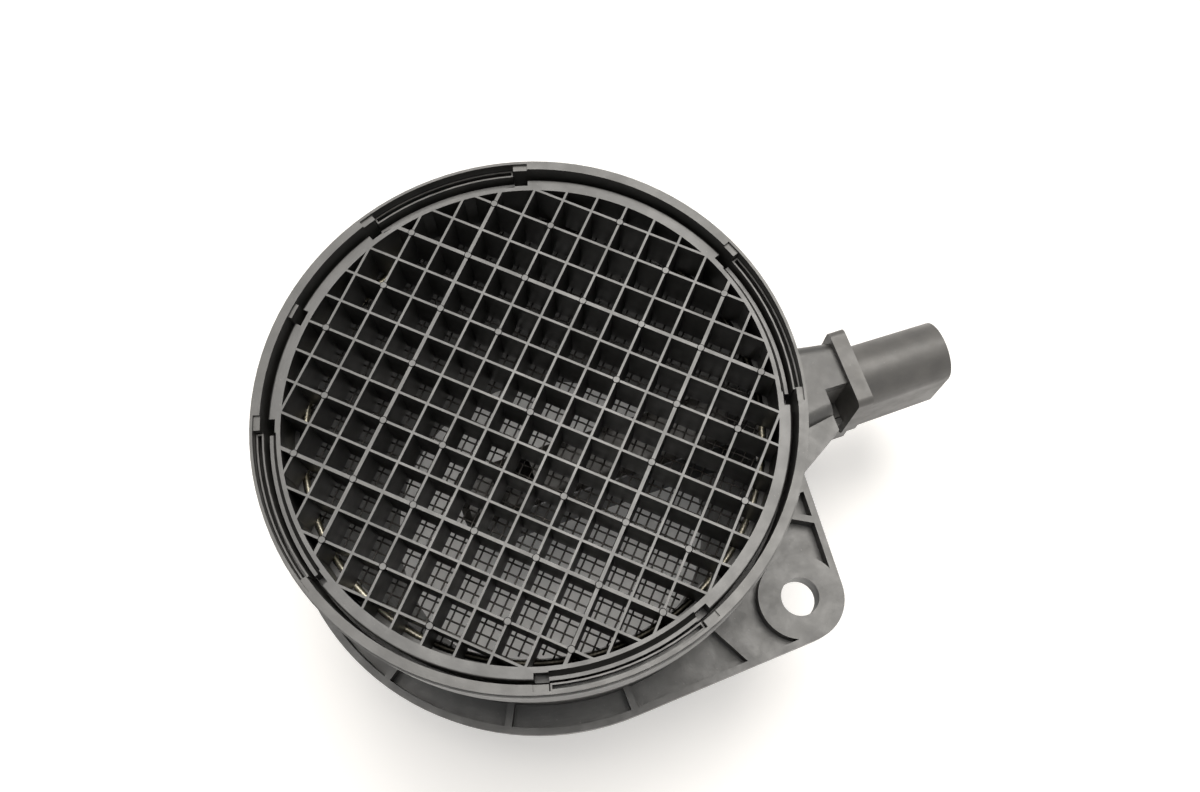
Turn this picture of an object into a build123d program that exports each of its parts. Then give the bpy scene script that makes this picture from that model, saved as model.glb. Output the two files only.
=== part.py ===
"""Mass airflow sensor: flow tube, inlet grid and screen, and plug-in hot-film module.

Millimetres.  The origin is the centre of the outlet end face, +Z runs up the
flow tube to the inlet, and +X runs through one of the two flange ears.
"""
import os
from math import cos, degrees, hypot, radians, sin

from build123d import *

os.makedirs("parts", exist_ok=True)

# ---------------------------------------------------------------- flow tube
tube_height = 84.0
collar_radius = 42.7
collar_step = 0.3
collar_step_drop = 1.6
collar_length = 11.0
barrel_radius = 41.4
lip_bore_radius = 40.95
lower_tube_radius = 38.0
spigot_radius = 36.0
spigot_length = 15.0
spigot_chamfer = 0.6
inlet_bore_radius = 36.2
outlet_bore_radius = 33.5

# Core-out that keeps the walls round the inlet bore thin.
core_inner_radius = 38.2
core_outer_radius = 39.6
core_depth = 22.0
core_rib_width = 2.0
core_rib_count = 8

# ---------------------------------------------------------------- inlet lock
lock_count = 4
lock_clocking = 48.0
lock_half_angle = 20.0
lock_recess_wall = 0.75
lock_recess_depth = 4.5
ledge_gap = 0.1
ledge_width = 1.1
ledge_drop = 1.9
ledge_root = 1.0
ledge_wall = 0.25
ledge_end_gap = 0.15
ledge_slot_depth = 1.5
stop_length = 2.3
stop_width = 1.0
stop_drop = 0.5
key_width = 2.4
key_reach = 0.6

# ---------------------------------------------------------------- flow grid
grid_drop = 2.2
grid_height = 9.0
grid_rim_radius = 40.25
grid_bore_radius = 38.3
grid_clocking = 3.0
grid_pitch = 5.05
grid_bar = 0.38
grid_heavy_bar = 0.56
heavy_bar = 4
last_bar = 7
rim_cutback = 0.55
rim_cutback_depth = 1.4
rim_notch_width = 1.1
rim_notch_depth = 1.6

# ---------------------------------------------------------------- wire screen
screen_ring_radius = 37.4
screen_ring_bore = 35.7
screen_ring_height = 1.3
screen_ring_clearance = 0.15
screen_thickness = 0.5
screen_gap_pitch = 8.6
screen_gap = 6.8
screen_edge = 0.8

# ---------------------------------------------------------------- flange
flange_underside = 40.8
flange_thickness = 5.0
flange_radius = 46.5
ear_angles = (0.0, 168.0)
ear_reach = 51.7
ear_radius = 7.9
ear_hole_diameter = 6.8
boss_radius = 7.5
pocket_depth = 2.2
flange_edge_rib = 1.2
flange_rib_width = 1.2
flange_rib_angles = (16, 70, 99, 126, 152, 184, 210, 235, 261, 290, 318, 344)

# ---------------------------------------------------------------- module, outside
module_angle = 45.0
module_height = 33.0
finger_tip = 16.0
finger_thickness = 10.8
finger_depth = 24.0
finger_corner = 2.6
finger_nose = 3.0
finger_clearance = 0.2
neck_root = 40.0
neck_root_width = 19.0
neck_root_depth = 31.0
neck_face = 59.6
neck_face_width = 13.2
neck_face_depth = 27.4
neck_face_rise = 0.5
neck_corner = 2.4
neck_web_width = 18.0
neck_web_root_width = 38.0
neck_web_end = 57.0
neck_notch_length = 4.6
neck_notch_offset = 2.4
neck_notch_bottom = 2.0
plate_width = 15.6
plate_depth = 31.2
plate_thickness = 3.0
plate_corner = 1.4
plate_shoulder = -3.0
shroud_length = 18.7
shroud_width = 12.6
shroud_depth = 24.7
shroud_wall = 1.4
shroud_draft = 1.0
socket_floor = 1.6
latch_width = 5.0
latch_height = 1.6
latch_length = 4.0
latch_setback = 6.0
plug_rib_width = 1.2
plug_rib_height = 0.8
plug_rib_spacing = 6.0

# ---------------------------------------------------------------- module, inside
chamber_start = 20.0
chamber_end = 48.0
chamber_depth = 18.0
chamber_floor = 1.5
chamber_corner = 1.5
cover_thickness = 1.4
cover_margin = 1.2
base_sheet = 1.0
base_margin = 0.3
board_thickness = 0.8
board_margin = 0.6
chip_size = 6.0
chip_height = 1.3
chip_reach = 31.0
capacitor_count = 4
capacitor_length = 1.8
capacitor_width = 1.2
capacitor_height = 1.0
capacitor_pitch = 3.4
capacitor_reach = 38.5
channel_leg = 7.5
channel_start = -9.0
channel_end = 15.0
channel_floor = 1.5
channel_corner = 2.0
lid_thickness = 1.2
lid_margin = 2.0
lid_inset = 1.4
carrier_thickness = 0.9
carrier_width = 4.0
carrier_tip = 9.0
carrier_root = 25.0
carrier_clearance = 0.05
film_size = 2.6
film_thickness = 0.4
film_setback = 0.6
seal_position = 52.4
seal_width = 1.8
seal_groove_depth = 1.2
thermistor_position = 30.5
thermistor_drop = 3.6
thermistor_diameter = 2.2
thermistor_length = 2.4
lead_diameter = 0.5
lead_spacing = 1.3
lead_bury = 2.0
pin_count = 5
pin_pitch = 3.8
pin_width = 1.5
pin_thickness = 0.64
pin_tip = 76.0
pin_root = 42.5
pin_jog_start = 49.2
pin_jog_end = 51.0
fit_clearance = 0.05

# ---------------------------------------------------------------- derived places
grid_top = tube_height - grid_drop
grid_bottom = grid_top - grid_height
screen_seat = grid_bottom - screen_ring_height
mesh_bottom = screen_seat + (screen_ring_height - screen_thickness) / 2
flange_top = flange_underside + flange_thickness
nozzle_end = module_height + finger_depth / 2
plate_face = neck_face + plate_thickness
shroud_tip = plate_face + shroud_length
socket_bottom = plate_face + socket_floor
finger_half = finger_thickness / 2
cover_seat = finger_half - cover_thickness
lid_seat = finger_half - lid_thickness
chamber_bottom = chamber_floor - finger_half
base_top = chamber_bottom + base_sheet
board_top = base_top + board_thickness
chamber_length = chamber_end - chamber_start
chamber_middle = (chamber_start + chamber_end) / 2
lid_length = channel_end - channel_start + 2 * lid_margin
lid_middle = (channel_start + channel_end) / 2
lid_depth = finger_depth - 2 * lid_inset

ear_places = [
    (ear_reach * cos(radians(angle)), ear_reach * sin(radians(angle))) for angle in ear_angles
]
recess_radius = collar_radius - lock_recess_wall
ledge_outer = recess_radius - ledge_gap
ledge_inner = ledge_outer - ledge_width
lock_angles = [lock_clocking + 360 / lock_count * turn for turn in range(lock_count)]
stop_half_angle = degrees(stop_length / 2 / recess_radius)
stop_offset = lock_half_angle - stop_half_angle
stop_angles = [angle + side * stop_offset for angle in lock_angles for side in (-1, 1)]
ledge_half_angle = stop_offset - stop_half_angle - degrees(ledge_end_gap / ledge_outer)
key_angle = 180 + grid_clocking

turn_of_module = radians(module_angle)
outward = Vector(cos(turn_of_module), sin(turn_of_module), 0)
sideways = Vector(-sin(turn_of_module), cos(turn_of_module), 0)
upward = Vector(0, 0, 1)


def across_module(reach):
    """A plane square to the module's axis: local x runs sideways, local y up the tube."""
    return Plane(outward * reach + upward * module_height, x_dir=sideways, z_dir=outward)


def along_module(lift):
    """A plane along the module, facing its covered side: local x outward, local y up."""
    return Plane(upward * module_height - sideways * lift, x_dir=outward, z_dir=-sideways)


def level_with_module(rise):
    """A level plane through the module: local x runs outward, local y sideways."""
    return Plane(upward * (module_height + rise), x_dir=outward, z_dir=upward)


def ring_sector(inner, outer, middle, half_angle):
    """A sector of a ring, added to the sketch that is open."""
    with BuildLine() as border:
        outside = CenterArc((0, 0), outer, middle - half_angle, 2 * half_angle)
        inside = CenterArc((0, 0), inner, middle - half_angle, 2 * half_angle)
        Line(inside @ 0, outside @ 0)
        Line(inside @ 1, outside @ 1)
    make_face(border.edges())


def flange_outline(margin=0.0):
    """The flange's round with its two ears, joined by tangent edges."""
    Circle(flange_radius - margin)
    with Locations(*ear_places):
        Circle(ear_radius - margin)
    make_hull()


def channel_outline():
    """The measuring channel: in through the top, past the film, out through the bottom."""
    edge = finger_depth / 2
    half_leg = channel_leg / 2
    with BuildLine() as border:
        FilletPolyline(
            (channel_start, edge),
            (channel_start, -half_leg),
            (channel_end - channel_leg, -half_leg),
            (channel_end - channel_leg, -edge),
            (channel_end, -edge),
            (channel_end, half_leg),
            (channel_start + channel_leg, half_leg),
            (channel_start + channel_leg, edge),
            radius=[0, channel_corner, channel_corner, 0, 0, channel_corner, channel_corner, 0],
            close=True,
        )
    make_face(border.edges())


def pin_outline(growth=0.0):
    """A connector blade from the side: flat on the board, then stepped to the socket's middle."""
    rest = board_top + pin_thickness / 2
    half = pin_thickness / 2 + growth
    with BuildLine() as border:
        Polyline(
            (pin_root, -rest + half),
            (pin_jog_start, -rest + half),
            (pin_jog_end, half),
            (pin_tip, half),
            (pin_tip, -half),
            (pin_jog_end, -half),
            (pin_jog_start, -rest - half),
            (pin_root, -rest - half),
            close=True,
        )
    make_face(border.edges())


def notch_outline():
    """The notch in one upper corner of the neck and of the finger inside it."""
    with Locations((-neck_notch_offset, neck_notch_bottom)):
        Rectangle(neck_root_width, neck_root_depth, align=(Align.MAX, Align.MIN))


pin_rises = [(index - (pin_count - 1) / 2) * pin_pitch for index in range(pin_count)]


# ================================================================ housing
with BuildPart() as housing:
    # Outside of the tube: the spigot, the barrel, and the collar with its stepped lip.
    with BuildSketch(Plane.XZ):
        with BuildLine():
            Polyline(
                (0, 0),
                (spigot_radius - spigot_chamfer, 0),
                (spigot_radius, spigot_chamfer),
                (spigot_radius, spigot_length),
                (lower_tube_radius, spigot_length + lower_tube_radius - spigot_radius),
                (lower_tube_radius, flange_underside),
                (barrel_radius, flange_underside),
                (barrel_radius, tube_height - collar_length - collar_radius + barrel_radius),
                (collar_radius, tube_height - collar_length),
                (collar_radius, tube_height - collar_step_drop),
                (collar_radius - collar_step, tube_height - collar_step_drop),
                (collar_radius - collar_step, tube_height),
                (0, tube_height),
                close=True,
            )
        make_face()
    revolve(axis=Axis.Z)
    with BuildSketch(Plane.XY.offset(flange_underside)):
        flange_outline()
    extrude(amount=flange_thickness)
    # Neck for the module, drawn in from the tube to its end face.
    with BuildSketch(across_module(neck_root)):
        RectangleRounded(neck_root_width, neck_root_depth, neck_corner)
    with BuildSketch(across_module(neck_face)):
        with Locations((0, neck_face_rise)):
            RectangleRounded(neck_face_width, neck_face_depth, neck_corner)
    loft()
    with BuildSketch(across_module(inlet_bore_radius)):
        RectangleRounded(neck_root_width, neck_root_depth, neck_corner)
    extrude(amount=neck_root - inlet_bore_radius)
    # Web that carries the flange out along one side of the neck.
    with BuildSketch(Plane(upward * flange_underside, x_dir=outward, z_dir=upward)):
        with BuildLine():
            Polyline(
                (neck_root, -neck_web_root_width / 2),
                (neck_web_end, -neck_web_width / 2),
                (neck_web_end, 0),
                (neck_root, 0),
                close=True,
            )
        make_face()
    extrude(amount=flange_thickness)
    # Pockets between the flange's edge rib, its radial ribs and the ears' bosses.
    with BuildSketch(Plane.XY.offset(flange_top)):
        flange_outline(flange_edge_rib)
        Circle(barrel_radius, mode=Mode.SUBTRACT)
        with Locations(*ear_places):
            Circle(boss_radius, mode=Mode.SUBTRACT)
        for angle in flange_rib_angles:
            with PolarLocations(flange_radius, 1, angle):
                Rectangle(4 * (flange_radius - barrel_radius), flange_rib_width, mode=Mode.SUBTRACT)
        with PolarLocations(neck_root, 1, module_angle):
            with Locations((0, (neck_root_width - neck_web_root_width) / 4)):
                Rectangle(neck_root, (neck_root_width + neck_web_root_width) / 2, mode=Mode.SUBTRACT)
    extrude(amount=-pocket_depth, mode=Mode.SUBTRACT)
    with BuildSketch(Plane.XY.offset(flange_underside)):
        with Locations(*ear_places):
            Circle(ear_hole_diameter / 2)
    extrude(amount=flange_thickness, mode=Mode.SUBTRACT)
    # Air passage: a slow nozzle down to the outlet, and the collar's stepped pocket.
    with BuildSketch(Plane.XZ):
        with BuildLine():
            Polyline(
                (0, 0),
                (outlet_bore_radius, 0),
                (outlet_bore_radius, spigot_length),
                (inlet_bore_radius, nozzle_end),
                (inlet_bore_radius, screen_seat),
                (screen_ring_radius + screen_ring_clearance, screen_seat),
                (screen_ring_radius + screen_ring_clearance, grid_bottom),
                (lip_bore_radius, grid_bottom),
                (lip_bore_radius, tube_height),
                (0, tube_height),
                close=True,
            )
        make_face()
    revolve(axis=Axis.Z, mode=Mode.SUBTRACT)
    # Core-out round the inlet bore, open below and crossed by ribs.
    core_step = 360 / core_rib_count
    core_half = core_step / 2 - degrees(core_rib_width / 2 / core_inner_radius)
    with BuildSketch(Plane.XY.offset(flange_underside)):
        for rib in range(core_rib_count):
            middle = (rib + 0.5) * core_step
            if abs(middle - module_angle) > core_step / 2:
                ring_sector(core_inner_radius, core_outer_radius, middle, core_half)
    extrude(amount=core_depth, mode=Mode.SUBTRACT)
    # Passage for the module's finger.
    with BuildSketch(across_module(neck_face)):
        RectangleRounded(
            finger_thickness + 2 * finger_clearance,
            finger_depth + 2 * finger_clearance,
            finger_corner + finger_clearance,
        )
    extrude(amount=inlet_bore_radius / 2 - neck_face, mode=Mode.SUBTRACT)
    # Notch that opens the upper part of one side of the neck, next to the plate.
    with BuildSketch(across_module(neck_face)):
        notch_outline()
    extrude(amount=-neck_notch_length, mode=Mode.SUBTRACT)
    # Lock recesses in the collar, each with a slotted ledge between two stops.
    with BuildSketch(Plane.XY.offset(tube_height)):
        for angle in lock_angles:
            ring_sector(grid_rim_radius, recess_radius, angle, lock_half_angle)
    extrude(amount=-lock_recess_depth, mode=Mode.SUBTRACT)
    with BuildSketch(Plane.XY.offset(tube_height - ledge_drop)):
        for angle in lock_angles:
            ring_sector(ledge_inner, ledge_outer, angle, ledge_half_angle)
    extrude(amount=ledge_drop - lock_recess_depth - ledge_root)
    with BuildSketch(Plane.XY.offset(tube_height - ledge_drop)):
        for angle in lock_angles:
            slot_half_angle = ledge_half_angle - degrees(ledge_wall / ledge_inner)
            ring_sector(ledge_inner + ledge_wall, ledge_outer - ledge_wall, angle, slot_half_angle)
    extrude(amount=-ledge_slot_depth, mode=Mode.SUBTRACT)
    with BuildSketch(Plane.XY.offset(tube_height - stop_drop)):
        for angle in stop_angles:
            ring_sector(recess_radius - stop_width, collar_radius - collar_step, angle, stop_half_angle)
        with PolarLocations(lip_bore_radius, 1, key_angle):
            Rectangle(2 * key_reach, key_width)
    extrude(amount=stop_drop - lock_recess_depth)

# ================================================================ flow grid
with BuildPart() as flow_grid:
    grid_plane = Plane.XY.offset(grid_bottom)
    with BuildSketch(grid_plane):
        with PolarLocations(0, 1, grid_clocking):
            for bar in range(-last_bar, last_bar + 1):
                thickness = grid_heavy_bar if abs(bar) == heavy_bar else grid_bar
                with Locations((bar * grid_pitch, 0)):
                    Rectangle(thickness, 2 * grid_rim_radius)
                with Locations((0, bar * grid_pitch)):
                    Rectangle(2 * grid_rim_radius, thickness)
        Circle(grid_rim_radius, mode=Mode.INTERSECT)
    extrude(amount=grid_height)
    with BuildSketch(grid_plane):
        Circle(grid_rim_radius)
        Circle(grid_bore_radius, mode=Mode.SUBTRACT)
    extrude(amount=grid_height)
    # The rim is cut back beside the lock ledges, and notched at each stop and at the key.
    with BuildSketch(Plane.XY.offset(grid_top)):
        for angle in lock_angles:
            ring_sector(grid_rim_radius - rim_cutback, collar_radius, angle, lock_half_angle)
    extrude(amount=-rim_cutback_depth, mode=Mode.SUBTRACT)
    with BuildSketch(Plane.XY.offset(grid_top)):
        for angle in stop_angles:
            ring_sector(grid_rim_radius - rim_notch_width, collar_radius, angle, stop_half_angle)
        with PolarLocations(grid_rim_radius, 1, key_angle):
            Rectangle(2 * rim_notch_width, key_width + 4 * fit_clearance)
    extrude(amount=-lock_recess_depth, mode=Mode.SUBTRACT)

# ================================================================ wire screen
with BuildPart() as screen_ring:
    with BuildSketch(Plane.XY.offset(screen_seat)):
        Circle(screen_ring_radius)
        Circle(screen_ring_bore, mode=Mode.SUBTRACT)
    extrude(amount=screen_ring_height)

with BuildPart() as screen_mesh:
    gap_reach = screen_ring_bore - screen_edge
    gap_rows = int(gap_reach / screen_gap_pitch)
    with BuildSketch(Plane.XY.offset(mesh_bottom)):
        Circle(screen_ring_bore)
        with PolarLocations(0, 1, grid_clocking):
            for column in range(-gap_rows, gap_rows + 1):
                for row in range(-gap_rows, gap_rows + 1):
                    corner = (abs(column) * screen_gap_pitch, abs(row) * screen_gap_pitch)
                    if hypot(*corner) + screen_gap / 2 < gap_reach:
                        with Locations((column * screen_gap_pitch, row * screen_gap_pitch)):
                            Rectangle(screen_gap, screen_gap, mode=Mode.SUBTRACT)
    extrude(amount=screen_thickness)

# ================================================================ module body
with BuildPart() as module_body:
    # The finger, chamfered at its nose, from its tip to the plate.
    with BuildSketch(across_module(-finger_tip)):
        RectangleRounded(finger_thickness, finger_depth, finger_corner)
    extrude(amount=finger_tip + neck_face)
    nose_edges = module_body.faces().sort_by(Axis((0, 0, 0), outward))[0].edges()
    chamfer(nose_edges, length=finger_nose / 2)
    # The plate that seats on the neck, wider at its upper end, and the notch behind it.
    with BuildSketch(across_module(neck_face)):
        with Locations((0, neck_face_rise)):
            RectangleRounded(neck_face_width, neck_face_depth, neck_corner)
        with Locations((0, plate_depth / 2)):
            RectangleRounded(
                plate_width,
                plate_depth / 2 - plate_shoulder,
                plate_corner,
                align=(Align.CENTER, Align.MAX),
            )
    extrude(amount=plate_thickness)
    with BuildSketch(across_module(neck_face)):
        notch_outline()
    extrude(amount=-neck_notch_length, mode=Mode.SUBTRACT)
    # The connector shroud, with its socket, plug ribs and latch.
    shroud_straight = shroud_depth - shroud_width
    with BuildSketch(across_module(plate_face)):
        SlotCenterToCenter(shroud_straight, shroud_width, rotation=90)
    extrude(amount=shroud_length, taper=shroud_draft)
    with BuildSketch(across_module(shroud_tip)):
        SlotCenterToCenter(shroud_straight, shroud_width - 2 * shroud_wall, rotation=90)
    extrude(amount=socket_bottom - shroud_tip, mode=Mode.SUBTRACT)
    socket_half_width = shroud_width / 2 - shroud_wall
    with BuildSketch(across_module(socket_bottom)):
        with Locations((-socket_half_width, -plug_rib_spacing), (-socket_half_width, plug_rib_spacing)):
            Rectangle(2 * plug_rib_height, plug_rib_width)
    extrude(amount=shroud_length - socket_floor - latch_length)
    latch_start = shroud_tip - latch_setback
    latch_root = -(shroud_depth / 2 - shroud_wall)
    with BuildSketch(along_module(-latch_width / 2)):
        with BuildLine():
            Polyline(
                (latch_start, latch_root),
                (latch_start - latch_length, latch_root),
                (latch_start - latch_length, latch_root - shroud_wall - latch_height),
                (latch_start, latch_root - shroud_wall / 2),
                close=True,
            )
        make_face()
    extrude(amount=latch_width)
    # Circuit chamber, with a seat for its cover.
    with BuildSketch(along_module(finger_half)):
        with Locations((chamber_middle, 0)):
            RectangleRounded(chamber_length, chamber_depth, chamber_corner)
    extrude(amount=chamber_bottom - finger_half, mode=Mode.SUBTRACT)
    with BuildSketch(along_module(finger_half)):
        with Locations((chamber_middle, 0)):
            RectangleRounded(
                chamber_length + 2 * cover_margin,
                chamber_depth + 2 * cover_margin,
                chamber_corner + cover_margin,
            )
    extrude(amount=-cover_thickness, mode=Mode.SUBTRACT)
    # Measuring channel, with a seat for its cover.
    with BuildSketch(along_module(lid_seat)):
        channel_outline()
    extrude(amount=channel_floor - finger_half - lid_seat, mode=Mode.SUBTRACT)
    with BuildSketch(along_module(finger_half)):
        with Locations((lid_middle, 0)):
            RectangleRounded(lid_length, lid_depth, channel_corner)
    extrude(amount=-lid_thickness, mode=Mode.SUBTRACT)
    # Slot for the film's carrier, between the chamber and the channel.
    with BuildSketch(along_module(board_top - carrier_clearance)):
        with Locations((channel_end - channel_corner, 0)):
            Rectangle(
                chamber_start - channel_end + 2 * channel_corner,
                carrier_width + 2 * carrier_clearance,
                align=(Align.MIN, Align.CENTER),
            )
    extrude(amount=carrier_thickness + 2 * carrier_clearance, mode=Mode.SUBTRACT)
    # Groove for the seal, just behind the plate.
    with BuildSketch(across_module(seal_position - seal_width / 2)):
        RectangleRounded(plate_width, plate_depth, plate_corner)
        RectangleRounded(
            finger_thickness - 2 * seal_groove_depth,
            finger_depth - 2 * seal_groove_depth,
            finger_corner - seal_groove_depth,
            mode=Mode.SUBTRACT,
        )
    extrude(amount=seal_width, mode=Mode.SUBTRACT)
    # Slots that the connector blades are moulded into.
    for rise in pin_rises:
        with BuildSketch(level_with_module(rise - pin_width / 2 - fit_clearance)):
            pin_outline(fit_clearance)
        extrude(amount=pin_width + 2 * fit_clearance, mode=Mode.SUBTRACT)
    # Blind holes for the thermistor's leads, in the finger's underside.
    with BuildSketch(level_with_module(-finger_depth / 2)):
        with Locations((thermistor_position, 0)):
            with GridLocations(lead_spacing, 0, 2, 1):
                Circle(lead_diameter / 2)
    extrude(amount=lead_bury, mode=Mode.SUBTRACT)

# ================================================================ module's separate pieces
with BuildPart() as module_seal:
    with BuildSketch(across_module(seal_position - seal_width / 2)):
        RectangleRounded(
            finger_thickness + 2 * finger_clearance,
            finger_depth + 2 * finger_clearance,
            finger_corner + finger_clearance,
        )
        RectangleRounded(
            finger_thickness - 2 * seal_groove_depth,
            finger_depth - 2 * seal_groove_depth,
            finger_corner - seal_groove_depth,
            mode=Mode.SUBTRACT,
        )
    extrude(amount=seal_width)

with BuildPart() as electronics_cover:
    with BuildSketch(along_module(cover_seat)):
        with Locations((chamber_middle, 0)):
            RectangleRounded(
                chamber_length + 2 * cover_margin - 2 * fit_clearance,
                chamber_depth + 2 * cover_margin - 2 * fit_clearance,
                chamber_corner + cover_margin - fit_clearance,
            )
    extrude(amount=cover_thickness)

with BuildPart() as channel_cover:
    with BuildSketch(along_module(lid_seat)):
        with Locations((lid_middle, 0)):
            RectangleRounded(
                lid_length - 2 * fit_clearance,
                lid_depth - 2 * fit_clearance,
                channel_corner - fit_clearance,
            )
    extrude(amount=lid_thickness)

with BuildPart() as base_plate:
    with BuildSketch(along_module(chamber_bottom)):
        with Locations((chamber_middle, 0)):
            RectangleRounded(
                chamber_length - 2 * base_margin,
                chamber_depth - 2 * base_margin,
                chamber_corner - base_margin,
            )
    extrude(amount=base_sheet)

with BuildPart() as circuit_board:
    with BuildSketch(along_module(base_top)):
        with Locations((chamber_middle, 0)):
            Rectangle(chamber_length - 2 * board_margin, chamber_depth - 2 * board_margin)
    extrude(amount=board_thickness)
    fillet(circuit_board.edges().filter_by(Axis((0, 0, 0), sideways)), radius=chamber_corner - board_margin)

with BuildPart() as controller_chip:
    with BuildSketch(along_module(board_top)):
        with Locations((chip_reach, 0)):
            Rectangle(chip_size, chip_size)
    extrude(amount=chip_height)
    chamfer(controller_chip.faces().sort_by(Axis((0, 0, 0), sideways))[0].edges(), length=chip_height / 5)

with BuildPart() as chip_capacitors:
    with BuildSketch(along_module(board_top)):
        with Locations((capacitor_reach, 0)):
            with GridLocations(0, capacitor_pitch, 1, capacitor_count):
                Rectangle(capacitor_length, capacitor_width)
    extrude(amount=capacitor_height)

with BuildPart() as film_carrier:
    with BuildSketch(along_module(board_top)):
        with Locations((carrier_tip, 0)):
            Rectangle(carrier_root - carrier_tip, carrier_width, align=(Align.MIN, Align.CENTER))
    extrude(amount=carrier_thickness)
    chamfer(
        film_carrier.edges().filter_by(Axis((0, 0, 0), upward)).sort_by(Axis((0, 0, 0), outward))[:2],
        length=carrier_thickness / 3,
    )

with BuildPart() as hot_film_element:
    with BuildSketch(along_module(board_top + carrier_thickness)):
        with Locations((carrier_tip + film_setback, 0)):
            Rectangle(film_size, film_size, align=(Align.MIN, Align.CENTER))
    extrude(amount=film_thickness)

with BuildPart() as thermistor_leads:
    with BuildSketch(level_with_module(-finger_depth / 2 + lead_bury)):
        with Locations((thermistor_position, 0)):
            with GridLocations(lead_spacing, 0, 2, 1):
                Circle(lead_diameter / 2)
    extrude(amount=-(lead_bury + thermistor_drop))

with BuildPart() as air_thermistor:
    with BuildSketch(level_with_module(-finger_depth / 2 - thermistor_drop)):
        with Locations((thermistor_position, 0)):
            Circle(thermistor_diameter / 2)
    extrude(amount=-thermistor_length)
    chamfer(air_thermistor.edges(), length=thermistor_diameter / 6)

pieces = {
    "housing": housing,
    "flow_grid": flow_grid,
    "screen_ring": screen_ring,
    "screen_mesh": screen_mesh,
    "module_body": module_body,
    "module_seal": module_seal,
    "electronics_cover": electronics_cover,
    "channel_cover": channel_cover,
    "base_plate": base_plate,
    "circuit_board": circuit_board,
    "controller_chip": controller_chip,
    "chip_capacitors": chip_capacitors,
    "film_carrier": film_carrier,
    "hot_film_element": hot_film_element,
    "thermistor_leads": thermistor_leads,
    "air_thermistor": air_thermistor,
}

for number, rise in enumerate(pin_rises, start=1):
    with BuildPart() as contact_pin:
        with BuildSketch(level_with_module(rise - pin_width / 2)):
            pin_outline()
        extrude(amount=pin_width)
        tip_edges = contact_pin.faces().sort_by(Axis((0, 0, 0), outward))[-1].edges()
        chamfer(tip_edges, length=pin_thickness / 4)
    pieces[f"contact_pin_{number}"] = contact_pin

for name, piece in pieces.items():
    piece.part.label = name
    export_step(piece.part, f"parts/{name}.step")
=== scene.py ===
"""Dresses the mass airflow sensor: moulded edges, the woven inlet screen, finishes and studio."""
from math import atan2, cos, hypot, pi, radians, sqrt

import bmesh
import bpy
from mathutils import Matrix, Vector


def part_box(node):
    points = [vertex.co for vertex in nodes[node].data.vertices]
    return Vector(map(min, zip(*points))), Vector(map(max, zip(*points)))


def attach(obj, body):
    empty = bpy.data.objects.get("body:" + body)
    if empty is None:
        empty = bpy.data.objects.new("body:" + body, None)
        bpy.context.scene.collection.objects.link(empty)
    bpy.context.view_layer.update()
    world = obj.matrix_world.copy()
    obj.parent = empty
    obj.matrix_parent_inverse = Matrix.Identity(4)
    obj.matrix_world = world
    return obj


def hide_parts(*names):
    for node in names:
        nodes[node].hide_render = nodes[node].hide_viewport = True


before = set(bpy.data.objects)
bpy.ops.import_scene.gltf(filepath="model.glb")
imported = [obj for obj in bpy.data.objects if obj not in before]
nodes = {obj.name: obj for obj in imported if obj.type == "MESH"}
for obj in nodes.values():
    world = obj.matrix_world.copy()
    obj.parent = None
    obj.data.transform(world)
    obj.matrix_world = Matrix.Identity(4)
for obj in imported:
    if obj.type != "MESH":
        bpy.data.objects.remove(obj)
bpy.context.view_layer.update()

MM = 0.001

# ---------------------------------------------------------------- sizes repeated from the part
grid_clocking = radians(3.0)
cell = 5.05 * MM
heavy_bar = 4
last_bar = 7
grid_bore_radius = 38.3 * MM
rim_radius = 40.25 * MM
rim_cut_radius = 39.7 * MM
barrel_radius = 41.4 * MM
pocket_floor = 43.6 * MM
slot_floor = 80.6 * MM
grid_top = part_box("flow_grid")[1].z
ring_low, ring_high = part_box("screen_ring")
ring_level = (ring_low.z + ring_high.z) / 2

# ---------------------------------------------------------------- sizes of the finer detail
moulded_corner = 0.15 * MM
grid_corner = 0.09 * MM
pocket_extra_depth = 1.2 * MM
slot_extra_depth = 1.4 * MM
slot_inside = 40.9 * MM
slot_outside = 41.7 * MM
rim_rounding = 0.3 * MM
rim_slope_radius = 38.95 * MM

wire_pitch = cell / 3
wire_thickness = 0.3 * MM
wire_rise = wire_thickness * 0.45
wire_sides = 6
screen_reach = ring_high.x - 0.2 * MM

ring_sides = 8
crimp_inner = 36.45 * MM
crimp_outer = 37.4 * MM
crimp_count = 390
crimp_depth = 0.35 * MM

mark_sides = 14
mark_diameter = 1.24 * MM
mark_edge = 0.12 * MM
mark_rise = 0.02 * MM
mark_dome = 0.07 * MM
mark_depth = 0.5 * MM

# ---------------------------------------------------------------- limits for work on a mesh
weld_gap = 0.002 * MM
spin_weld_gap = 0.001 * MM
level_slack = 0.01 * MM
wall_slack = 0.02 * MM
round_slack = 0.03 * MM
flat_angle = radians(0.6)
corner_angle = radians(24.0)
shading_angle = radians(35)

# ---------------------------------------------------------------- colours shared by finishes
pale_dust = (0.42, 0.4, 0.36)
# painted shade: the dark colour laid on the ring's sides that lie in shade
painted_shade_colour = (0.02, 0.018, 0.015)


# ---------------------------------------------------------------- finishes
def new_finish(name):
    """A new material, its tree, its surface shader and the place of each point on the piece."""
    finish = bpy.data.materials.new(name)
    finish.use_nodes = True
    tree = finish.node_tree
    surface = tree.nodes["Principled BSDF"]
    place = tree.nodes.new("ShaderNodeTexCoord")
    return finish, tree, surface, place.outputs["Object"]


def noise(tree, place, scale, detail, roughness=0.5):
    """Cloudy variation, with its scale in waves per metre."""
    texture = tree.nodes.new("ShaderNodeTexNoise")
    texture.inputs["Scale"].default_value = scale
    texture.inputs["Detail"].default_value = detail
    texture.inputs["Roughness"].default_value = roughness
    tree.links.new(place, texture.inputs["Vector"])
    return texture.outputs["Fac"]


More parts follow.
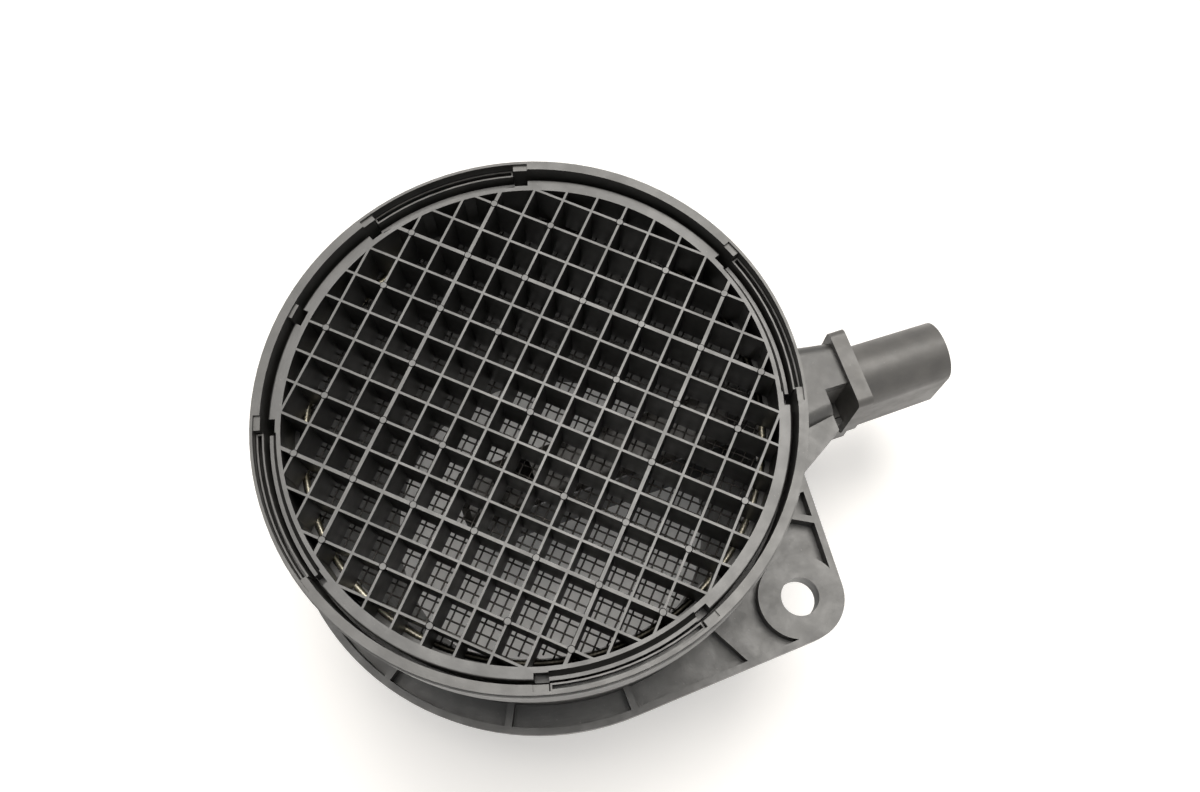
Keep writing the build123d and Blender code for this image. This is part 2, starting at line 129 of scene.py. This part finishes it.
def ramp(tree, value, low, high, start=0.0, end=1.0):
    """Maps a value from low..high to start..end, clamped."""
    mapping = tree.nodes.new("ShaderNodeMapRange")
    mapping.inputs["From Min"].default_value = low
    mapping.inputs["From Max"].default_value = high
    mapping.inputs["To Min"].default_value = start
    mapping.inputs["To Max"].default_value = end
    tree.links.new(value, mapping.inputs["Value"])
    return mapping.outputs["Result"]


def multiply(tree, first, second):
    """The product of a value and another value or number."""
    product = tree.nodes.new("ShaderNodeMath")
    product.operation = "MULTIPLY"
    tree.links.new(first, product.inputs[0])
    if isinstance(second, float):
        product.inputs[1].default_value = second
    else:
        tree.links.new(second, product.inputs[1])
    return product.outputs["Value"]


def largest(tree, first, second):
    """The larger of two values."""
    larger = tree.nodes.new("ShaderNodeMath")
    larger.operation = "MAXIMUM"
    tree.links.new(first, larger.inputs[0])
    tree.links.new(second, larger.inputs[1])
    return larger.outputs["Value"]


def reach_along(tree, place, side):
    """How far each point lies along a direction."""
    along = tree.nodes.new("ShaderNodeVectorMath")
    along.operation = "DOT_PRODUCT"
    tree.links.new(place, along.inputs[0])
    along.inputs[1].default_value = side
    return along.outputs["Value"]


def blend_colour(tree, amount, under, over):
    """One colour laid over another by an amount."""
    mix = tree.nodes.new("ShaderNodeMix")
    mix.data_type = "RGBA"
    tree.links.new(amount, mix.inputs["Factor"])
    for socket, colour in ((mix.inputs["A"], under), (mix.inputs["B"], over)):
        if isinstance(colour, tuple):
            socket.default_value = (*colour, 1)
        else:
            tree.links.new(colour, socket)
    return mix.outputs["Result"]


def bump(tree, surface, heights, distance, strength):
    """Raises the surface by a height pattern."""
    relief = tree.nodes.new("ShaderNodeBump")
    relief.inputs["Distance"].default_value = distance
    relief.inputs["Strength"].default_value = strength
    tree.links.new(heights, relief.inputs["Height"])
    tree.links.new(relief.outputs["Normal"], surface.inputs["Normal"])


def moulded_nylon(name, colour, smoothest, roughest, dust=0.16):
    """Black glass-filled nylon: faint flow mottling, fine spark texture and pale dust on top."""
    finish, tree, surface, place = new_finish(name)
    lighter = tuple(1.5 * part for part in colour)
    mottle = ramp(tree, noise(tree, place, scale=260.0, detail=4.0), low=0.35, high=0.7)
    base = blend_colour(tree, mottle, colour, lighter)
    facing = tree.nodes.new("ShaderNodeNewGeometry")
    split = tree.nodes.new("ShaderNodeSeparateXYZ")
    tree.links.new(facing.outputs["Normal"], split.inputs["Vector"])
    upward = ramp(tree, split.outputs["Z"], low=0.55, high=1.0)
    specks = ramp(tree, noise(tree, place, scale=1900.0, detail=2.0), low=0.7, high=0.78)
    haze = ramp(tree, noise(tree, place, scale=90.0, detail=5.0), low=0.45, high=0.75, end=0.3)
    dusty = multiply(tree, multiply(tree, largest(tree, specks, haze), upward), dust)
    tree.links.new(blend_colour(tree, dusty, base, pale_dust), surface.inputs["Base Color"])
    wear = noise(tree, place, scale=240.0, detail=5.0, roughness=0.65)
    rough = ramp(tree, wear, low=0.35, high=0.65, start=smoothest, end=roughest)
    tree.links.new(rough, surface.inputs["Roughness"])
    surface.inputs["Specular IOR Level"].default_value = 0.8
    grain = noise(tree, place, scale=2600.0, detail=4.0, roughness=0.6)
    bump(tree, surface, grain, distance=0.03 * MM, strength=0.35)
    return finish


def bright_metal(name, colour, smoothest, roughest, stain, shaded_sides=()):
    """Sheet or wire metal with soft stains and rolling marks, and painted shade on the sides it
    is given.
    """
    finish, tree, surface, place = new_finish(name)
    stained = ramp(tree, noise(tree, place, scale=420.0, detail=4.0), low=0.45, high=0.7)
    base = blend_colour(tree, stained, colour, stain)
    painted_dark = None
    # painted shade: each given side is blended towards a dark colour along its direction
    for side, bright_until, dark_from in shaded_sides:
        reach = reach_along(tree, place, side)
        amount = ramp(tree, reach, low=bright_until, high=dark_from, end=0.96)
        painted_dark = amount if painted_dark is None else largest(tree, painted_dark, amount)
    if shaded_sides:
        base = blend_colour(tree, painted_dark, base, painted_shade_colour)
    tree.links.new(base, surface.inputs["Base Color"])
    surface.inputs["Metallic"].default_value = 1.0
    wear = noise(tree, place, scale=900.0, detail=3.0)
    rough = ramp(tree, wear, low=0.3, high=0.7, start=smoothest, end=roughest)
    tree.links.new(rough, surface.inputs["Roughness"])
    grain = noise(tree, place, scale=3000.0, detail=2.0)
    bump(tree, surface, grain, distance=0.02 * MM, strength=0.4)
    return finish


def fired_ceramic(name, colour, grain_colour, rough):
    """Ceramic, glaze or dipped resin, with a fine grain."""
    finish, tree, surface, place = new_finish(name)
    cloud = ramp(tree, noise(tree, place, scale=1500.0, detail=3.0), low=0.35, high=0.7)
    clouded = blend_colour(tree, cloud, colour, grain_colour)
    tree.links.new(clouded, surface.inputs["Base Color"])
    surface.inputs["Roughness"].default_value = rough
    grain = noise(tree, place, scale=6000.0, detail=2.0)
    bump(tree, surface, grain, distance=0.01 * MM, strength=0.4)
    return finish


def soft_rubber(name, colour, gloss=0.5):
    """Silicone seal and painted groove shade, matt and slightly chalky."""
    finish, tree, surface, place = new_finish(name)
    chalk = ramp(tree, noise(tree, place, scale=900.0, detail=4.0), low=0.4, high=0.75)
    paler = tuple(1.8 * part for part in colour)
    tree.links.new(blend_colour(tree, chalk, colour, paler), surface.inputs["Base Color"])
    surface.inputs["Roughness"].default_value = 0.75
    surface.inputs["Specular IOR Level"].default_value = gloss
    grain = noise(tree, place, scale=2600.0, detail=3.0)
    bump(tree, surface, grain, distance=0.04 * MM, strength=0.5)
    return finish


# Each side of the ring painted dark as shade: its direction, how far along that direction the
# sheet is still bright, and from where it is dark.
ring_painted_shade = (
    ((0.6, -0.8, 0), 29.2 * MM, 30.7 * MM),
    ((0, 1, 0), 17.0 * MM, 20.0 * MM),
)

# painted light and shade: the three parts are one black nylon; the module's lighter base is
# painted light and the grid's darker base is painted shade
housing_nylon = moulded_nylon("housing_nylon", (0.03, 0.029, 0.027), 0.36, 0.48)
grid_nylon = moulded_nylon("grid_nylon", (0.022, 0.0217, 0.021), 0.35, 0.46)
module_nylon = moulded_nylon("module_nylon", (0.055, 0.052, 0.048), 0.4, 0.52)
cover_nylon = moulded_nylon("cover_nylon", (0.021, 0.023, 0.033), 0.4, 0.5, dust=0.06)
screen_wire = bright_metal("screen_wire", (0.1, 0.095, 0.09), 0.4, 0.55, (0.05, 0.045, 0.04))
ring_sheet = bright_metal(
    "ring_sheet", (0.95, 0.9, 0.74), 0.42, 0.58, (0.5, 0.45, 0.32), shaded_sides=ring_painted_shade
)
base_sheet_metal = bright_metal(
    "base_sheet_metal", (0.8, 0.8, 0.81), 0.3, 0.4, (0.7, 0.7, 0.72)
)
lead_wire = bright_metal("lead_wire", (0.72, 0.72, 0.73), 0.2, 0.3, (0.55, 0.55, 0.56))
contact_plating = bright_metal(
    "contact_plating", (0.8, 0.75, 0.6), 0.2, 0.32, (0.68, 0.62, 0.47)
)
board_substrate = fired_ceramic("board_substrate", (0.8, 0.8, 0.76), (0.7, 0.7, 0.66), 0.55)
carrier_substrate = fired_ceramic(
    "carrier_substrate", (0.84, 0.84, 0.8), (0.76, 0.76, 0.72), 0.5
)
capacitor_body = fired_ceramic("capacitor_body", (0.5, 0.34, 0.2), (0.4, 0.27, 0.16), 0.4)
film_glaze = fired_ceramic("film_glaze", (0.05, 0.07, 0.13), (0.1, 0.12, 0.18), 0.12)
chip_resin = fired_ceramic("chip_resin", (0.02, 0.02, 0.021), (0.035, 0.035, 0.036), 0.45)
bead_resin = fired_ceramic("bead_resin", (0.03, 0.028, 0.026), (0.05, 0.045, 0.04), 0.18)
seal_rubber = soft_rubber("seal_rubber", (0.018, 0.018, 0.019))
# painted shade: near-black finish on the grooves round the ejector marks
groove_painted_shade = soft_rubber("groove_painted_shade", (0.005, 0.005, 0.005), gloss=0.1)

node_finishes = {
    "housing": housing_nylon,
    "flow_grid": grid_nylon,
    "screen_ring": ring_sheet,
    "screen_mesh": screen_wire,
    "module_body": module_nylon,
    "module_seal": seal_rubber,
    "electronics_cover": cover_nylon,
    "channel_cover": cover_nylon,
    "base_plate": base_sheet_metal,
    "circuit_board": board_substrate,
    "controller_chip": chip_resin,
    "chip_capacitors": capacitor_body,
    "film_carrier": carrier_substrate,
    "hot_film_element": film_glaze,
    "thermistor_leads": lead_wire,
    "air_thermistor": bead_resin,
    **{f"contact_pin_{number}": contact_plating for number in range(1, 6)},
}
for node, finish in node_finishes.items():
    for slot in nodes[node].material_slots:
        slot.material = finish


# ---------------------------------------------------------------- making pieces
def piece_from(shape, name, finish, second_finish=None):
    """Turns a finished bmesh into a piece that rides on the part."""
    mesh = bpy.data.meshes.new(name)
    mesh.materials.append(finish)
    if second_finish:
        mesh.materials.append(second_finish)
    shape.to_mesh(mesh)
    shape.free()
    piece = bpy.data.objects.new(name, mesh)
    bpy.context.scene.collection.objects.link(piece)
    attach(piece, "root")
    return piece


def turn_with_grid(shape):
    """Turns a shape about the tube's axis, as the grid's bars are turned."""
    clocking = Matrix.Rotation(grid_clocking, 3, "Z")
    bmesh.ops.rotate(shape, verts=shape.verts, cent=(0, 0, 0), matrix=clocking)


def round_edges(shape, edges, radius, segments):
    """Rounds some edges of a shape."""
    bmesh.ops.bevel(
        shape,
        geom=edges,
        offset=radius,
        offset_type="OFFSET",
        affect="EDGES",
        segments=segments,
        profile=0.5,
        material=-1,
        clamp_overlap=True,
    )


def soften_rim(shape):
    """Slopes the rim's step beside the lock ledges, and rounds its outer edge between them."""
    outer = set()
    for vert in shape.verts:
        reach = hypot(vert.co.x, vert.co.y)
        if vert.co.z < grid_top - level_slack:
            continue
        if abs(reach - rim_cut_radius) < round_slack:
            vert.co.x *= rim_slope_radius / reach
            vert.co.y *= rim_slope_radius / reach
        elif abs(reach - rim_radius) < round_slack:
            outer.add(vert)
    rim = [edge for edge in shape.edges if outer.issuperset(edge.verts)]
    round_edges(shape, rim, rim_rounding, segments=3)


def deepen_housing(shape):
    """Sinks the floors of the flange's pockets and of the slots in the lock ledges."""
    for vert in shape.verts:
        reach = hypot(vert.co.x, vert.co.y)
        in_slot = slot_inside < reach < slot_outside
        if abs(vert.co.z - pocket_floor) < level_slack and reach > barrel_radius - wall_slack:
            vert.co.z -= pocket_extra_depth
        elif abs(vert.co.z - slot_floor) < level_slack and in_slot:
            vert.co.z -= slot_extra_depth


def moulded_edges(node, name, finish, radius, reshape=None):
    """A copy of a moulded node, with its corners rounded as they leave the tool."""
    shape = bmesh.new()
    shape.from_mesh(nodes[node].data)
    bmesh.ops.remove_doubles(shape, verts=shape.verts, dist=weld_gap)
    if reshape:
        reshape(shape)
    bmesh.ops.dissolve_limit(
        shape,
        angle_limit=flat_angle,
        verts=shape.verts,
        edges=shape.edges,
        use_dissolve_boundaries=False,
    )
    corners = [edge for edge in shape.edges if edge.calc_face_angle(0.0) > corner_angle]
    round_edges(shape, corners, radius, segments=2)
    for face in shape.faces:
        face.smooth = True
    for edge in shape.edges:
        edge.smooth = edge.calc_face_angle(0.0) < shading_angle
    piece = piece_from(shape, name, finish)
    shading = piece.modifiers.new("flat_faces_stay_flat", "WEIGHTED_NORMAL")
    shading.mode = "FACE_AREA"
    shading.weight = 100
    shading.keep_sharp = True
    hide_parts(node)


moulded_edges(
    "housing", "housing_shell", housing_nylon, moulded_corner, deepen_housing
)
moulded_edges("flow_grid", "inlet_grid", grid_nylon, grid_corner, soften_rim)
moulded_edges("module_body", "sensor_module", module_nylon, moulded_corner)


def woven_screen():
    """Plain-woven wire cloth, clipped to its ring and turned with the grid's cells."""
    shape = bmesh.new()
    rows = int(screen_reach / wire_pitch)
    facing_along = Matrix.Rotation(pi / 2, 4, "Y")
    quarter_turn = Matrix.Rotation(pi / 2, 3, "Z")
    for turned in (0, 1):
        for row in range(-rows, rows + 1):
            offset = (row + 0.5) * wire_pitch
            if abs(offset) >= screen_reach - wire_pitch:
                continue
            crossings = int(sqrt(screen_reach**2 - offset**2) / wire_pitch)
            end = bmesh.ops.create_circle(
                shape,
                cap_ends=True,
                radius=wire_thickness / 2,
                segments=wire_sides,
                matrix=facing_along,
            )["verts"]
            side = 1 if (row + turned) % 2 == 0 else -1
            lift = side * (1 if crossings % 2 == 0 else -1)
            start = (-crossings * wire_pitch, offset, lift * wire_rise)
            bmesh.ops.translate(shape, verts=end, vec=start)
            edges = list({edge for vert in end for edge in vert.link_edges})
            wire = list(end)
            for _ in range(2 * crossings):
                grown = bmesh.ops.extrude_edge_only(shape, edges=edges)["geom"]
                tip = [item for item in grown if isinstance(item, bmesh.types.BMVert)]
                edges = [item for item in grown if isinstance(item, bmesh.types.BMEdge)]
                edges = [edge for edge in edges if all(vert in tip for vert in edge.verts)]
                step = (wire_pitch, 0, -2 * lift * wire_rise)
                bmesh.ops.translate(shape, verts=tip, vec=step)
                lift = -lift
                wire += tip
            bmesh.ops.contextual_create(shape, geom=edges)
            if turned:
                bmesh.ops.rotate(shape, verts=wire, cent=(0, 0, 0), matrix=quarter_turn)
    turn_with_grid(shape)
    bmesh.ops.translate(shape, verts=shape.verts, vec=(0, 0, ring_level))
    bmesh.ops.recalc_face_normals(shape, faces=shape.faces)
    for face in shape.faces:
        face.smooth = True
    piece = piece_from(shape, "woven_screen", screen_wire)
    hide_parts("screen_mesh")


woven_screen()


def crimped_ring():
    """The screen's ring, rolled round the cloth's edge and crimped all the way round."""
    shape = bmesh.new()
    half_width = (crimp_outer - crimp_inner) / 2
    half_height = (ring_high.z - ring_low.z) / 2
    half_side = pi / ring_sides
    section = bmesh.ops.create_circle(
        shape,
        radius=1 / cos(half_side),
        segments=ring_sides,
        matrix=Matrix.Rotation(pi / 2, 4, "X") @ Matrix.Rotation(half_side, 4, "Z"),
    )["verts"]
    bmesh.ops.scale(shape, verts=section, vec=(half_width, 1, half_height))
    bmesh.ops.translate(shape, verts=section, vec=(crimp_inner + half_width, 0, ring_level))
    bmesh.ops.spin(
        shape,
        geom=shape.edges[:],
        cent=(0, 0, 0),
        axis=(0, 0, 1),
        angle=2 * pi,
        steps=2 * crimp_count,
        use_merge=True,
        use_duplicate=False,
    )
    bmesh.ops.remove_doubles(shape, verts=shape.verts, dist=spin_weld_gap)
    for vert in shape.verts:
        step = round(atan2(vert.co.y, vert.co.x) / pi * crimp_count)
        if step % 2 and vert.co.z > ring_level:
            vert.co.z -= crimp_depth
    bmesh.ops.recalc_face_normals(shape, faces=shape.faces)
    for face in shape.faces:
        face.smooth = True
    piece = piece_from(shape, "crimped_ring", ring_sheet)
    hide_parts("screen_ring")


crimped_ring()


def has_mark(column, row):
    """Whether an ejector pin met the lattice at this crossing of its bars."""
    if hypot(column, row) * cell > grid_bore_radius:
        return False
    if 0 in (column, row):
        return max(abs(column), abs(row)) in (0, heavy_bar, last_bar)
    return column % 2 == 0 and row % 2 == 0


def ejector_marks():
    """Round marks on the lattice: every second crossing, and the ends of the middle bars."""
    shape = bmesh.new()
    for column in range(-last_bar, last_bar + 1):
        for row in range(-last_bar, last_bar + 1):
            if not has_mark(column, row):
                continue
            place = (column * cell, row * cell, grid_top + mark_rise)
            rim = bmesh.ops.create_circle(
                shape,
                cap_ends=True,
                radius=mark_diameter / 2,
                segments=mark_sides,
                matrix=Matrix.Translation(place),
            )["verts"]
            top = list(rim[0].link_faces)
            bmesh.ops.inset_region(
                shape, faces=top, use_boundary=True, thickness=mark_edge, depth=mark_dome
            )
            # painted shade: the sloping ring round each mark's top takes the dark second finish
            around_top = {face for vert in top[0].verts for face in vert.link_faces}
            for face in around_top - set(top):
                face.material_index = 1
            rim_edges = [edge for edge in shape.edges if edge.is_boundary]
            side = bmesh.ops.extrude_edge_only(shape, edges=rim_edges)["geom"]
            lower = [item for item in side if isinstance(item, bmesh.types.BMVert)]
            bmesh.ops.translate(shape, verts=lower, vec=(0, 0, -mark_depth))
            side_edges = [item for item in side if isinstance(item, bmesh.types.BMEdge)]
            bmesh.ops.contextual_create(
                shape, geom=[edge for edge in side_edges if edge.is_boundary]
            )
    turn_with_grid(shape)
    bmesh.ops.recalc_face_normals(shape, faces=shape.faces)
    piece_from(shape, "ejector_marks", grid_nylon, groove_painted_shade)


ejector_marks()

# ---------------------------------------------------------------- studio
table_radius = 0.9
table_sides = 96
table_drop = 0.1 * MM
table_colour = (0.84, 0.83, 0.82)
glow_colour = (1.0, 0.985, 0.965)
tube_foot_inside = 34.5 * MM
tube_foot_outside = 36.0 * MM
glow_in_tube = 0.1
glow_round_tube = 0.4

room_colour = (1.0, 0.99, 0.97)
room_low, room_high = 0.05, 0.8
light_low, light_high = 0.1, 0.4

lamp_aim = Vector((0, 0, 0.05))
lamp_side = Vector((-0.07, 0.27, 0.96))
lamp_distance = 1.6
lamp_width = 1.0
lamp_power = 26.0
lamp_colour = (1.0, 0.965, 0.91)


def seen_or_reflected(tree):
    """One where the camera, a reflection or glass looks, and nothing for other light."""
    path = tree.nodes.new("ShaderNodeLightPath")
    mirrored = largest(tree, path.outputs["Is Glossy Ray"], path.outputs["Is Transmission Ray"])
    return largest(tree, path.outputs["Is Camera Ray"], mirrored)


def studio_floor():
    """A plain white table top; its glow is weak in the tube's foot, where little light gets."""
    shape = bmesh.new()
    bmesh.ops.create_circle(shape, cap_ends=True, radius=table_radius, segments=table_sides)
    mesh = bpy.data.meshes.new("table_top")
    shape.to_mesh(mesh)
    shape.free()
    table = bpy.data.objects.new("table_top", mesh)
    bpy.context.scene.collection.objects.link(table)
    table.location.z = -table_drop
    finish = bpy.data.materials.new("white_table")
    finish.use_nodes = True
    tree = finish.node_tree
    tree.nodes.clear()
    output = tree.nodes.new("ShaderNodeOutputMaterial")
    matt = tree.nodes.new("ShaderNodeBsdfDiffuse")
    glow = tree.nodes.new("ShaderNodeEmission")
    together = tree.nodes.new("ShaderNodeAddShader")
    place = tree.nodes.new("ShaderNodeTexCoord")
    reach = tree.nodes.new("ShaderNodeVectorMath")
    reach.operation = "LENGTH"
    tree.links.new(place.outputs["Object"], reach.inputs[0])
    glow_there = ramp(
        tree,
        reach.outputs["Value"],
        low=tube_foot_inside,
        high=tube_foot_outside,
        start=glow_in_tube,
        end=glow_round_tube,
    )
    glow_seen = multiply(tree, seen_or_reflected(tree), glow_there)
    tree.links.new(glow_seen, glow.inputs["Strength"])
    glow.inputs["Color"].default_value = (*glow_colour, 1)
    matt.inputs["Color"].default_value = (*table_colour, 1)
    tree.links.new(matt.outputs["BSDF"], together.inputs[0])
    tree.links.new(glow.outputs["Emission"], together.inputs[1])
    tree.links.new(together.outputs["Shader"], output.inputs["Surface"])
    mesh.materials.append(finish)


def studio_world():
    """A room that is darker towards the horizon; the camera and reflections see it white."""
    world = bpy.data.worlds.new("white_room")
    world.use_nodes = True
    tree = world.node_tree
    tree.nodes.clear()
    output = tree.nodes.new("ShaderNodeOutputWorld")
    room = tree.nodes.new("ShaderNodeBackground")
    backdrop = tree.nodes.new("ShaderNodeBackground")
    choose = tree.nodes.new("ShaderNodeMixShader")
    place = tree.nodes.new("ShaderNodeTexCoord")
    split = tree.nodes.new("ShaderNodeSeparateXYZ")
    tree.links.new(place.outputs["Generated"], split.inputs["Vector"])
    strength = ramp(
        tree, split.outputs["Z"], low=room_low, high=room_high, start=light_low, end=light_high
    )
    tree.links.new(strength, room.inputs["Strength"])
    tree.links.new(seen_or_reflected(tree), choose.inputs["Fac"])
    tree.links.new(room.outputs["Background"], choose.inputs[1])
    tree.links.new(backdrop.outputs["Background"], choose.inputs[2])
    tree.links.new(choose.outputs["Shader"], output.inputs["Surface"])
    backdrop.inputs["Color"].default_value = (1, 1, 1, 1)
    backdrop.inputs["Strength"].default_value = 1.0
    room.inputs["Color"].default_value = (*room_colour, 1)
    bpy.context.scene.world = world


def overhead_softbox():
    """A square soft lamp above the part, turned to its middle."""
    lamp = bpy.data.lights.new("overhead_softbox", "AREA")
    lamp.shape = "SQUARE"
    lamp.size = lamp_width
    lamp.energy = lamp_power
    lamp.color = lamp_colour
    softbox = bpy.data.objects.new("overhead_softbox", lamp)
    bpy.context.scene.collection.objects.link(softbox)
    towards = lamp_side.normalized()
    softbox.location = lamp_aim + towards * lamp_distance
    softbox.rotation_euler = towards.to_track_quat("Z", "Y").to_euler()


studio_floor()
studio_world()
overhead_softbox()

# ---------------------------------------------------------------- camera
# The rows are the camera's right, its up and the way back from what it looks at.
camera_right = (0.8969, 0.4422, 0.0024)
camera_up = (-0.4201, 0.8502, 0.3172)
camera_back = (0.1382, -0.2856, 0.9483)
camera_place = (0.0327, -0.0430, 0.2481)
sensor_width = 36.0
focal_length = 34.04

lens = bpy.data.cameras.new("camera")
lens.sensor_fit = "HORIZONTAL"
lens.sensor_width = sensor_width
lens.lens = focal_length
camera = bpy.data.objects.new("camera", lens)
bpy.context.scene.collection.objects.link(camera)
turn = Matrix((camera_right, camera_up, camera_back)).transposed().to_4x4()
camera.matrix_world = Matrix.Translation(camera_place) @ turn
bpy.context.scene.camera = camera
bpy.context.scene.view_settings.view_transform = "Standard"
